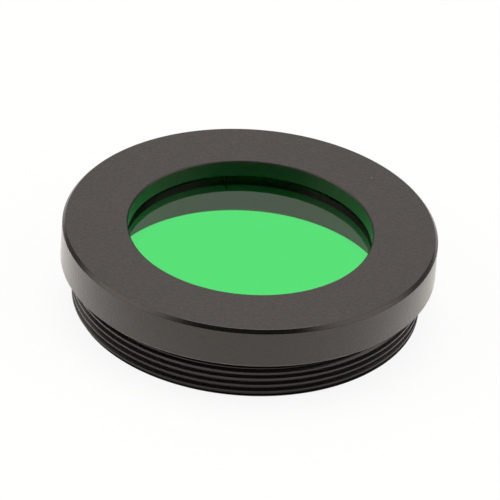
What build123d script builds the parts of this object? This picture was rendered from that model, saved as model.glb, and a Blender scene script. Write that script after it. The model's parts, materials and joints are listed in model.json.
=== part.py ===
from build123d import *
import math
import os

# Eyepiece colour filter: a turned cell with a male thread, a disc of green glass and a split ring that
# holds the glass. Millimetres. Z is the optical axis: light enters through the wide front face at the top
# and leaves at the threaded end, which rests on z = 0.

# Barrel with a right-hand M28.5 x 0.6 thread, a relief under the flange and a lead-in chamfer
barrel_h = 3.7
thread_major_d = 28.36
thread_pitch = 0.6
thread_crest = 0.156
thread_root = 0.138
thread_flank_angle = 30.0
thread_start_angle = 112.0
lead_in = 0.25
relief_w = 1.3
relief_below_root = 0.165
relief_corner = 0.15
cutter_over = 0.1

# Flange that the fingers grip
flange_h = 3.4
flange_overhang = 1.07
bevel_w = 0.25
bevel_h = 0.3
edge_break = 0.1

# Bore for the glass, and the lip round the aperture that the glass is held against
barrel_wall = 2.1
lip_w = 1.7
lip_t = 1.5

# Glass disc
glass_t = 2.0
glass_chamfer = 0.15
glass_fit = 0.05

# Split retaining ring, sprung into the bore below the glass
ring_w = 1.58
ring_t = 0.6
ring_slit = 0.15
ring_slit_angle = 103.0
ring_fit = 0.02

# Radii that follow, from the thread outwards and inwards
thread_r = thread_major_d / 2
groove_w = thread_pitch - thread_crest
thread_depth = (groove_w - thread_root) / 2 / math.tan(math.radians(thread_flank_angle))
thread_root_r = thread_r - thread_depth
relief_r = thread_root_r - relief_below_root
flange_r = thread_r + flange_overhang
bore_r = relief_r - barrel_wall
aperture_r = bore_r - lip_w
glass_r = bore_r - glass_fit
ring_outer_r = bore_r - ring_fit

# Heights that follow
total_h = barrel_h + flange_h
relief_foot_z = barrel_h - relief_w
seat_z = total_h - lip_t
glass_bottom_z = seat_z - glass_t


def cell_section():
    """Half of the cell's section, in the XZ plane."""
    outside = [
        (thread_r - lead_in, 0),
        (thread_r, lead_in),
        (thread_r, relief_foot_z),
        (relief_r, relief_foot_z + thread_r - relief_r),
        (relief_r, barrel_h - relief_corner),
        (relief_r + relief_corner, barrel_h),
        (flange_r - edge_break, barrel_h),
        (flange_r, barrel_h + edge_break),
        (flange_r, total_h - bevel_h),
        (flange_r - bevel_w, total_h),
    ]
    inside = [
        (aperture_r + edge_break, total_h),
        (aperture_r, total_h - edge_break),
        (aperture_r, seat_z + edge_break),
        (aperture_r + edge_break, seat_z),
        (bore_r, seat_z),
        (bore_r, edge_break),
        (bore_r + edge_break, 0),
    ]
    points = [(r, 0, z) for r, z in outside + inside]
    return make_face(Polyline(points, close=True))


def groove_turn(start_z):
    """One turn of the groove between the crests: a trapezoid with 60 degrees between its flanks."""
    path = Helix(thread_pitch, thread_pitch, thread_root_r, center=(0, 0, start_z))
    half = [
        (thread_root_r, thread_root / 2),
        (thread_r, groove_w / 2),
        (thread_r + cutter_over, groove_w / 2),
    ]
    upper = [(r, 0, start_z + h) for r, h in half]
    lower = [(r, 0, start_z - h) for r, h in reversed(half)]
    section = make_face(Polyline(upper + lower, close=True))
    turn = sweep(section, path=path, is_frenet=True)
    return Rot(0, 0, thread_start_angle) * turn


def cut_thread(blank):
    """Cut the groove turn by turn, from below the end face up to where it runs out in the relief."""
    low_z = -thread_pitch
    runout_z = relief_foot_z + thread_depth + groove_w / 2
    turns = math.ceil((runout_z - low_z) / thread_pitch)
    for turn in range(turns):
        blank = blank - groove_turn(low_z + turn * thread_pitch)
    return blank


def filter_cell():
    """Flange, lip and threaded barrel, turned in one piece."""
    return cut_thread(revolve(cell_section(), axis=Axis.Z))


def filter_glass():
    """Plane-parallel disc with its sharp edges ground off."""
    disc = Pos(0, 0, glass_bottom_z + glass_t / 2) * Cylinder(glass_r, glass_t)
    return chamfer(disc.edges().filter_by(GeomType.CIRCLE), glass_chamfer)


def retaining_ring():
    """Flat ring under the glass, cut through once so that it springs against the bore."""
    inner_r = ring_outer_r - ring_w
    ring = Cylinder(ring_outer_r, ring_t) - Cylinder(inner_r, ring_t)
    slit = Pos(inner_r + ring_w / 2, 0, 0) * Box(2 * ring_w, ring_slit, ring_t)
    ring = ring - Rot(0, 0, ring_slit_angle) * slit
    return Pos(0, 0, glass_bottom_z - ring_t / 2) * ring


os.makedirs("parts", exist_ok=True)
export_step(filter_cell(), "parts/filter_cell.step")
export_step(filter_glass(), "parts/filter_glass.step")
export_step(retaining_ring(), "parts/retaining_ring.step")
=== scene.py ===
import json
import math

import bmesh
import bpy
from mathutils import Matrix, Vector


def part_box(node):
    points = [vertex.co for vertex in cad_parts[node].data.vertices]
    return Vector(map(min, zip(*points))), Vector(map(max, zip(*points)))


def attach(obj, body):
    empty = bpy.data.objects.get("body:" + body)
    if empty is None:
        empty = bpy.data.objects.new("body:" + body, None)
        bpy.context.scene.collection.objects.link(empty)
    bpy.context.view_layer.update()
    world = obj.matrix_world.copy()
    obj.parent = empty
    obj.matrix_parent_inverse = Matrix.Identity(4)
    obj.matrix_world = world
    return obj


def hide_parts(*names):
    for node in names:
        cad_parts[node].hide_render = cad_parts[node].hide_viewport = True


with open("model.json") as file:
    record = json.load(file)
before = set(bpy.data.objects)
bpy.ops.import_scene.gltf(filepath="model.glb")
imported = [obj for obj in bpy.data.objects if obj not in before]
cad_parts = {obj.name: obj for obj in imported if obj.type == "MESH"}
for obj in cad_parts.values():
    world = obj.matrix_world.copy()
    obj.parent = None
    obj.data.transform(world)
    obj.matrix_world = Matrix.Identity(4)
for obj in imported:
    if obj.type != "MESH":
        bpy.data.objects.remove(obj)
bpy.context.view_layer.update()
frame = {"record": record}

# The cell is turned from one aluminium bar: a flange to grip, a lip round the aperture, and a barrel with
# a fine right-hand thread that screws into an eyepiece. Its front face is blasted, and then all of it is
# anodised and dyed black. The glass goes in from below, so the bore and the seat are read from the glass.
mm = 0.001
cell_low, cell_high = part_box("filter_cell")
glass_low, glass_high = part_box("filter_glass")
mounts = {mount["name"]: mount for mount in frame["record"]["mounts"]}

cell_height = cell_high.z
# The frame's rounds have flat facets, so the smallest reach keeps a true round inside the frame's box.
flange_radius = min(cell_high.x, cell_high.y, -cell_low.x, -cell_low.y)
barrel_height = mounts["shoulder"]["pos_m"][2]
seat_height = glass_high.z
glass_clearance = 0.05 * mm
bore_radius = glass_high.x + glass_clearance
aperture_radius = 9.95 * mm
bevel_width = 0.25 * mm
bevel_height = 0.3 * mm
bevel_round = 0.07 * mm
edge_break = 0.1 * mm
edge_round = 0.04 * mm

thread_radius = mounts["barrel_thread"]["dims"]["r_mm"] * mm
pitch = 0.6 * mm
crest_width = 0.156 * mm
root_width = 0.138 * mm
flank_slope = 1 / math.tan(math.radians(30))
thread_start = math.radians(112)
groove_width = pitch - crest_width
flank_height = (groove_width - root_width) / 2
root_radius = thread_radius - flank_height * flank_slope
lead_in = 0.25 * mm

relief_width = 1.3 * mm
relief_below_root = 0.165 * mm
relief_corner = 0.15 * mm
relief_radius = root_radius - relief_below_root
relief_foot = barrel_height - relief_width
runout_height = relief_foot + thread_radius - root_radius

# Turns counted from z = 0, enough to pass the end face and the relief's foot at any angle.
turns_below = 1
turns_above = 6
cell_steps = 720


def rounded(outline):
    """Points of an outline of (radius, height, corner radius), each corner turned into a small arc."""
    arc_steps = 4
    points = []
    for i, (r, z, size) in enumerate(outline):
        if size == 0:
            points.append((r, z))
            continue
        corner = Vector((r, z))
        before = (Vector(outline[i - 1][:2]) - corner).normalized()
        after = (Vector(outline[(i + 1) % len(outline)][:2]) - corner).normalized()
        half = before.angle(after) / 2
        reach = size / math.tan(half)
        centre = corner + (before + after).normalized() * size / math.sin(half)
        first = corner + before * reach - centre
        last = corner + after * reach - centre
        for step in range(arc_steps + 1):
            spoke = first.lerp(last, step / arc_steps).normalized() * size
            points.append(tuple(centre + spoke))
    return points


def thread_crossings(z_from, z_to, radius_from, slope):
    """Heights where a stretch of the thread's profile starts and where it meets two cones of 45 degrees.

    The lead-in cone widens from lead_in_base at z = 0, and the relief's foot narrows to nothing at
    relief_top.
    """
    lead_in_base = thread_radius - lead_in
    relief_top = thread_radius + relief_foot
    meets = [z_from]
    if slope != 1:
        meets.append((lead_in_base - radius_from + slope * z_from) / (slope - 1))
    if slope != -1:
        meets.append((relief_top - radius_from + slope * z_from) / (slope + 1))
    return sorted(min(max(z, z_from), z_to) for z in meets)


def thread_radius_at(z, groove_z):
    """Radius of the barrel at a height. The root's middle lies at groove_z or whole turns from it."""
    from_groove = abs((z - groove_z + pitch / 2) % pitch - pitch / 2)
    rise = min(max((from_groove - root_width / 2) * flank_slope, 0), thread_radius - root_radius)
    return min(root_radius + rise, thread_radius - lead_in + z, thread_radius + relief_foot - z)


def thread_rows(angle):
    """The barrel's profile at one angle, from the end face to where the groove runs out in the relief.

    Every angle has the same rows. Those of turns beyond the ends fall together there and are welded.
    """
    groove_z = pitch * (angle - thread_start) / (2 * math.pi)
    rows = []
    for turn in range(-turns_below, turns_above):
        root_from = groove_z + turn * pitch - root_width / 2
        root_to = root_from + root_width
        crest_from = root_to + flank_height
        crest_to = crest_from + crest_width
        rows.append(root_from)
        rows += thread_crossings(root_to, crest_from, root_radius, flank_slope)
        rows += thread_crossings(crest_from, crest_to, thread_radius, 0)
        rows += thread_crossings(crest_to, root_from + pitch, thread_radius, -flank_slope)
    heights = [min(max(z, 0), runout_height) for z in rows]
    return [(thread_radius_at(z, groove_z), z) for z in heights]


def turned_point(r, z, angle):
    """A point at a radius and a height, turned about the axis."""
    return (r * math.cos(angle), r * math.sin(angle), z)


def turned_column(section, angle):
    """A section of (radius, height) points, turned about the axis."""
    return [turned_point(r, z, angle) for r, z in section]


def make_piece(name, columns, capped=False):
    """Skin sections that follow each other round the axis. Points that meet become one vertex.

    capped closes the first and the last section, where they don't meet.
    """
    weld = 0.0005 * mm
    sharp_above = math.radians(28)
    index = {}
    points = []
    grid = []
    for column in columns:
        line = []
        for point in column:
            key = tuple(round(value / weld) for value in point)
            if key not in index:
                index[key] = len(points)
                points.append(point)
            line.append(index[key])
        grid.append(line)
    faces = []
    for here, there in zip(grid, grid[1:]):
        for i in range(len(here)):
            corners = [here[i - 1], there[i - 1], there[i], here[i]]
            corners = [c for n, c in enumerate(corners) if c != corners[n - 1]]
            if len(set(corners)) > 2:
                faces.append(corners)
    if capped:
        faces += [grid[0], grid[-1]]
    mesh = bpy.data.meshes.new(name)
    mesh.from_pydata(points, [], faces)
    shape = bmesh.new()
    shape.from_mesh(mesh)
    bmesh.ops.recalc_face_normals(shape, faces=shape.faces)
    shape.to_mesh(mesh)
    shape.free()
    mesh.shade_smooth()
    mesh.set_sharp_from_angle(angle=sharp_above)
    piece = bpy.data.objects.new(name, mesh)
    bpy.context.scene.collection.objects.link(piece)
    weighting = piece.modifiers.new("weighted normals", "WEIGHTED_NORMAL")
    weighting.keep_sharp = True
    return piece


def srgb(code):
    """Linear colour of an sRGB hex value."""
    channels = [int(code[i:i + 2], 16) / 255 for i in (1, 3, 5)]
    return [c / 12.92 if c <= 0.04045 else ((c + 0.055) / 1.055) ** 2.4 for c in channels] + [1]


def add(tree, kind, sockets, **settings):
    """Add a node with its settings. A socket gets a value, or a link where it is given an output.

    Sockets that share a name are given by their number.
    """
    node = tree.nodes.new("ShaderNode" + kind)
    for name, value in settings.items():
        setattr(node, name, value)
    for name, value in sockets.items():
        if isinstance(value, bpy.types.NodeSocket):
            tree.links.new(value, node.inputs[name])
        else:
            node.inputs[name].default_value = value
    return node


# Numbers of the sockets of a Mix node: the two colours and their result, and the two values.
colour_a, colour_b, colour_result = 6, 7, 2
value_a, value_b = 2, 3


def black_anodised(name, dye, roughness, grain_depth, haze=0.0):
    """Aluminium under a dyed oxide film: nearly black and a little brown, with a fine grain.

    What shines is the clear film, which has no metal's tint, so it is shaded as a dielectric with the
    film's index. dye holds the darkest and the lightest tone of the grain. Turning marks and dust catch
    the light at a grazing angle, and a sheen of weight haze stands for that. The real grain is about
    0.03 mm across, and is drawn at 0.22 mm to show at all. grain_depth says how deep it is.
    """
    grain_size = 0.22 * mm
    grain_strength = 0.6
    cloud_size = 4 * mm
    cloud_spread = 0.03
    noise_low = 0.3
    noise_high = 0.7
    dust_spacing = 3 * mm
    dust_size = 0.09 * mm
    dust_colour = srgb("#8c8680")
    film_index = 1.6
    film_tint = srgb("#fff6ee")
    haze_roughness = 0.42

    material = bpy.data.materials.new(name)
    material.use_nodes = True
    tree = material.node_tree
    tree.nodes.clear()
    place = add(tree, "TexCoord", {}).outputs["Object"]
    grain = add(tree, "TexNoise", {"Vector": place, "Scale": 1 / grain_size, "Detail": 2.0})
    clouds = add(tree, "TexNoise", {"Vector": place, "Scale": 1 / cloud_size, "Detail": 3.0})
    rough = add(tree, "MapRange", {
        "Value": clouds.outputs["Fac"],
        "From Min": noise_low, "From Max": noise_high,
        "To Min": roughness - cloud_spread, "To Max": roughness + cloud_spread})
    dust = add(tree, "TexVoronoi", {"Vector": place, "Scale": 1 / dust_spacing})
    speck = add(tree, "MapRange", {
        "Value": dust.outputs["Distance"],
        "From Min": 0.0, "From Max": dust_size / dust_spacing,
        "To Min": 1.0, "To Max": 0.0})
    tint = add(tree, "ValToRGB", {"Fac": grain.outputs["Fac"]})
    dark, light = tint.color_ramp.elements
    dark.position = noise_low
    dark.color = srgb(dye[0])
    light.position = noise_high
    light.color = srgb(dye[1])
    colour = add(tree, "Mix", {
        "Factor": speck.outputs["Result"],
        colour_a: tint.outputs["Color"],
        colour_b: dust_colour}, data_type="RGBA")
    bump = add(tree, "Bump", {
        "Height": grain.outputs["Fac"], "Strength": grain_strength, "Distance": grain_depth})
    shader = add(tree, "BsdfPrincipled", {
        "Base Color": colour.outputs[colour_result],
        "Roughness": rough.outputs["Result"],
        "IOR": film_index,
        "Specular Tint": film_tint,
        "Sheen Weight": haze,
        "Sheen Roughness": haze_roughness,
        "Normal": bump.outputs["Normal"]})
    add(tree, "OutputMaterial", {"Surface": shader.outputs["BSDF"]})
    return material


cell_outline = [
    (bore_radius + edge_break, 0, 0),
    (bore_radius, edge_break, 0),
    (bore_radius, seat_height, 0),
    (aperture_radius + edge_break, seat_height, 0),
    (aperture_radius, seat_height + edge_break, 0),
    (aperture_radius, cell_height - edge_break, edge_round),
    (aperture_radius + edge_break, cell_height, edge_round),
    (flange_radius - bevel_width, cell_height, bevel_round),
    (flange_radius, cell_height - bevel_height, bevel_round),
    (flange_radius, barrel_height + edge_break, edge_round),
    (flange_radius - edge_break, barrel_height, edge_round),
    (relief_radius + relief_corner, barrel_height, 0),
    (relief_radius, barrel_height - relief_corner, 0),
    (relief_radius, relief_foot + thread_radius - relief_radius, 0),
]
cell_section = rounded(cell_outline)
cell_columns = []
for step in range(cell_steps + 1):
    angle = 2 * math.pi * step / cell_steps
    barrel = thread_rows(angle)
    barrel.reverse()
    cell_columns.append(turned_column(cell_section + barrel, angle))
cell = make_piece("cell", cell_columns)

turned_finish, blasted_finish, lip_finish, cut_finish = range(4)
# The flange's side, the bore and the crests are turned: dark grey, and paler where the light grazes them.
cell.data.materials.append(
    black_anodised("turned black anodising", ("#0b0a0a", "#1b1918"), 0.32, 0.036 * mm, haze=0.95))
# The front face is blasted: an even matt grain, lighter than the rest and with no haze.
cell.data.materials.append(
    black_anodised("blasted black anodising", ("#0b0a0a", "#2a2625"), 0.36, 0.036 * mm))
# The lip's inner wall is turned smooth and isn't blasted: nearly black, with a dull gleam.
cell.data.materials.append(
    black_anodised("turned black anodised lip", ("#070706", "#100f0e"), 0.4, 0.004 * mm))
# The bevel, the grooves, the relief and the end face are cut by a sharp tool: smooth and the shiniest.
cell.data.materials.append(
    black_anodised("cut and anodised thread", ("#080808", "#141312"), 0.2, 0.004 * mm))

# A face is told by its normal's part along the axis, its distance from the axis and its height.
level_from = 0.9
sloping_from = 0.2
crest_depth = 0.01 * mm
for face in cell.data.polygons:
    above_seat = face.center.z > seat_height
    outward = face.center.x * face.normal.x + face.center.y * face.normal.y
    distance = face.center.to_2d().length
    if above_seat and face.normal.z > level_from:
        face.material_index = blasted_finish
    elif above_seat and outward < 0:
        face.material_index = lip_finish
    elif above_seat and face.normal.z > sloping_from:
        face.material_index = cut_finish
    elif bore_radius + edge_break < distance < thread_radius - crest_depth:
        face.material_index = cut_finish
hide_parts("filter_cell")
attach(cell, "root")

# The filter glass is a flat disc of green optical glass, ground and polished on both faces, with its sharp
# edges taken off. It drops into the bore from below and lies against the lip. A hair of air is left at
# each face, so that its mesh doesn't touch the lip or the ring.
air_gap = 0.004 * mm
glass_radius = min(glass_high.x, glass_high.y, -glass_low.x, -glass_low.y)
glass_top = glass_high.z - air_gap
glass_bottom = glass_low.z + air_gap
glass_chamfer = 0.15 * mm
glass_steps = 360

glass_section = [
    (0, glass_bottom),
    (glass_radius - glass_chamfer, glass_bottom),
    (glass_radius, glass_bottom + glass_chamfer),
    (glass_radius, glass_top - glass_chamfer),
    (glass_radius - glass_chamfer, glass_top),
    (0, glass_top),
]
glass_columns = []
for step in range(glass_steps + 1):
    glass_columns.append(turned_column(glass_section, 2 * math.pi * step / glass_steps))
glass = make_piece("glass", glass_columns)


def green_glass():
    """Green glass coloured in the melt: clear and polished, and darker the longer the way through it.

    The absorption is what a plate 2 mm thick needs to pass green and stop red and most of the blue.
    Faint smudges take a little of the polish away in patches.
    """
    glass_index = 1.52
    glass_tint = srgb("#62f7ba")
    absorbed_per_metre = 1600
    smudge_size = 5 * mm
    smudge_from = 0.6
    smudge_full = 0.8
    smudge_roughness = 0.04

    material = bpy.data.materials.new("green optical glass")
    material.use_nodes = True
    tree = material.node_tree
    tree.nodes.clear()
    place = add(tree, "TexCoord", {}).outputs["Object"]
    smudges = add(tree, "TexNoise", {"Vector": place, "Scale": 1 / smudge_size, "Detail": 4.0})
    rough = add(tree, "MapRange", {
        "Value": smudges.outputs["Fac"],
        "From Min": smudge_from, "From Max": smudge_full,
        "To Min": 0.0, "To Max": smudge_roughness})
    shader = add(tree, "BsdfPrincipled", {
        "Base Color": srgb("#ffffff"),
        "Roughness": rough.outputs["Result"],
        "IOR": glass_index,
        "Transmission Weight": 1.0})
    depth = add(tree, "VolumeAbsorption", {"Color": glass_tint, "Density": absorbed_per_metre})
    add(tree, "OutputMaterial", {
        "Surface": shader.outputs["BSDF"], "Volume": depth.outputs["Volume"]})
    return material


glass.data.materials.append(green_glass())
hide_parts("filter_glass")
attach(glass, "root")

# The retaining ring is a flat ring of black anodised aluminium, cut through once with a fine slit. It is
# squeezed, put in below the glass and let go, so that it springs against the bore and holds the glass.
ring_low, ring_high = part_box("retaining_ring")
ring_radius = min(ring_high.x, ring_high.y, -ring_low.x, -ring_low.y)
ring_width = 1.58 * mm
ring_edge = 0.03 * mm
slit_width = 0.15 * mm
slit_angle = math.radians(103)
ring_steps = 360

ring_outline = [
    (ring_radius - ring_width, ring_low.z, ring_edge),
    (ring_radius, ring_low.z, ring_edge),
    (ring_radius, ring_high.z, ring_edge),
    (ring_radius - ring_width, ring_high.z, ring_edge),
]
ring_section = rounded(ring_outline)
ring_columns = []
for step in range(ring_steps + 1):
    column = []
    for r, z in ring_section:
        half_slit = math.asin(slit_width / 2 / r)
        way_round = 2 * math.pi - 2 * half_slit
        column.append(turned_point(r, z, slit_angle + half_slit + way_round * step / ring_steps))
    ring_columns.append(column)
ring = make_piece("ring", ring_columns, capped=True)
# Its anodising is plain and dull, so that it shows nearly black below the glass.
ring.data.materials.append(
    black_anodised("black anodised spring ring", ("#080808", "#121110"), 0.5, 0.002 * mm))
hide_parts("retaining_ring")
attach(ring, "root")

# The filter stands on a sweep of white paper, threaded end down. To the camera and through the glass the
# paper is mostly plain white, and its lit share keeps the filter's shadow. In gloss it is mostly lit paper,
# but below the glass it is painted plain white, a painted glow in place of the light that falls through the
# glass onto it. Seen from below, the sweep is clear.
floor_size = 3.0
# The sweep lies a hair below the end face, because two faces in one plane render in patches.
floor_gap = 0.01 * mm
white_share = 0.9
gloss_white_share = 0.15
paper_colour = srgb("#f4f3f1")
plain_white = srgb("#ffffff")

half_floor = floor_size / 2
floor_corners = [(x * half_floor, y * half_floor, -floor_gap)
                 for x, y in ((-1, -1), (1, -1), (1, 1), (-1, 1))]
floor_mesh = bpy.data.meshes.new("sweep")
floor_mesh.from_pydata(floor_corners, [], [(0, 1, 2, 3)])
floor = bpy.data.objects.new("sweep", floor_mesh)
bpy.context.scene.collection.objects.link(floor)

sweep_paper = bpy.data.materials.new("white sweep paper")
sweep_paper.use_nodes = True
tree = sweep_paper.node_tree
tree.nodes.clear()
rays = add(tree, "LightPath", {})
spot = add(tree, "NewGeometry", {})
seen = add(tree, "Math", {
    0: rays.outputs["Is Camera Ray"], 1: rays.outputs["Is Transmission Ray"]}, operation="MAXIMUM")
seen_white = add(tree, "Math", {0: seen.outputs[0], 1: white_share}, operation="MULTIPLY")
# Painted glow: within the bore's radius the paper glows white in gloss too, in place of light through the
# glass.
from_axis = add(tree, "VectorMath", {0: spot.outputs["Position"]}, operation="LENGTH")
painted_glow_under_glass = add(tree, "Math", {0: from_axis.outputs["Value"], 1: bore_radius}, operation="LESS_THAN")
gloss_white_and_painted_glow = add(tree, "Math", {
    0: painted_glow_under_glass.outputs[0], 1: white_share - gloss_white_share, 2: gloss_white_share},
    operation="MULTIPLY_ADD")
share = add(tree, "Math", {
    0: rays.outputs["Is Glossy Ray"], 1: gloss_white_and_painted_glow.outputs[0], 2: seen_white.outputs[0]},
    operation="MULTIPLY_ADD")
paper = add(tree, "BsdfDiffuse", {"Color": paper_colour})
white = add(tree, "Emission", {"Color": plain_white, "Strength": 1.0})
mixed = add(tree, "MixShader", {0: share.outputs[0], 1: paper.outputs[0], 2: white.outputs[0]})
from_below = add(tree, "Math", {
    0: spot.outputs["Backfacing"], 1: rays.outputs["Is Camera Ray"]}, operation="MULTIPLY")
clear = add(tree, "BsdfTransparent", {})
shown = add(tree, "MixShader", {0: from_below.outputs[0], 1: mixed.outputs[0], 2: clear.outputs[0]})
add(tree, "OutputMaterial", {"Surface": shown.outputs[0]})
floor_mesh.materials.append(sweep_paper)

# Round the sweep is a light tent, with a soft lamp behind its cloth at each side, one behind the filter and
# one overhead. It is open high up at the front, where the camera looks in, and there the cell's gloss shows
# the dark room. The camera itself sees plain white.
cloth_level = 0.3
room_level = 0.05
lamp_colour = srgb("#fffaf6")
# Of each round patch, in degrees: azimuth from the front, elevation, and the inner and outer edge of its
# glow. A lamp has its level after that.
opening = (0, 48, 22, 44)
lamps = [
    ((-80, 32, 8, 36), 1.6),
    ((80, 32, 8, 36), 1.35),
    ((-168, 34, 12, 46), 0.58),
    ((180, 82, 8, 26), 5.0),
]
world = bpy.data.worlds.new("light tent")
bpy.context.scene.world = world
world.use_nodes = True
tree = world.node_tree
tree.nodes.clear()
direction = add(tree, "TexCoord", {}).outputs["Generated"]


def glow(patch, dim, bright):
    """Level of a round patch of the tent: bright inside its inner edge and dim outside its outer edge."""
    azimuth, elevation, inner, outer = (math.radians(value) for value in patch)
    centre = (
        math.sin(azimuth) * math.cos(elevation),
        -math.cos(azimuth) * math.cos(elevation),
        math.sin(elevation))
    towards = add(tree, "VectorMath", {0: direction, 1: centre}, operation="DOT_PRODUCT")
    fade = add(tree, "MapRange", {
        "Value": towards.outputs["Value"],
        "From Min": math.cos(outer), "From Max": math.cos(inner),
        "To Min": dim, "To Max": bright}, interpolation_type="SMOOTHSTEP")
    return fade.outputs["Result"]


level = glow(opening, cloth_level, room_level)
for patch, brightness in lamps:
    lamp = glow(patch, 0.0, brightness)
    level = add(tree, "Math", {0: level, 1: lamp}, operation="ADD").outputs[0]
seen = add(tree, "LightPath", {}).outputs["Is Camera Ray"]
colour = add(tree, "Mix", {
    "Factor": seen, colour_a: lamp_colour, colour_b: plain_white}, data_type="RGBA")
strength = add(tree, "Mix", {"Factor": seen, value_a: level, value_b: 1.0})
background = add(tree, "Background", {
    "Color": colour.outputs[colour_result], "Strength": strength.outputs["Result"]})
add(tree, "OutputWorld", {"Surface": background.outputs[0]})

# A long lens looks down on the filter from the front, turned a little about its own axis. Its angles and
# the point it aims at, just below the middle of the front face, are those of the photo.
camera_distance = 500 * mm
camera_elevation = math.radians(32.569)
camera_roll = math.radians(4.178)
aim_right = -0.047 * mm
aim_up = -1.891 * mm
lens_in_mm = 444.96
sensor_in_mm = 36.0
near_clip = 10 * mm

top_centre = Vector((0, 0, cell_height))
back = Vector((0, -math.cos(camera_elevation), math.sin(camera_elevation)))
level_up = Vector((0, math.sin(camera_elevation), math.cos(camera_elevation)))
right = Vector((math.cos(camera_roll), 0, 0)) + level_up * math.sin(camera_roll)
up = Vector((-math.sin(camera_roll), 0, 0)) + level_up * math.cos(camera_roll)
station = top_centre + back * camera_distance
aim = top_centre + right * aim_right + up * aim_up
axis_back = (station - aim).normalized()
axis_right = (right - axis_back * right.dot(axis_back)).normalized()
axis_up = axis_back.cross(axis_right)
facing = Matrix((axis_right, axis_up, axis_back)).transposed().to_4x4()

camera_data = bpy.data.cameras.new("camera")
camera_data.lens = lens_in_mm
camera_data.sensor_width = sensor_in_mm
camera_data.clip_start = near_clip
camera = bpy.data.objects.new("camera", camera_data)
camera.matrix_world = Matrix.Translation(station) @ facing
bpy.context.scene.collection.objects.link(camera)
bpy.context.scene.camera = camera
bpy.context.scene.view_settings.view_transform = "Standard"
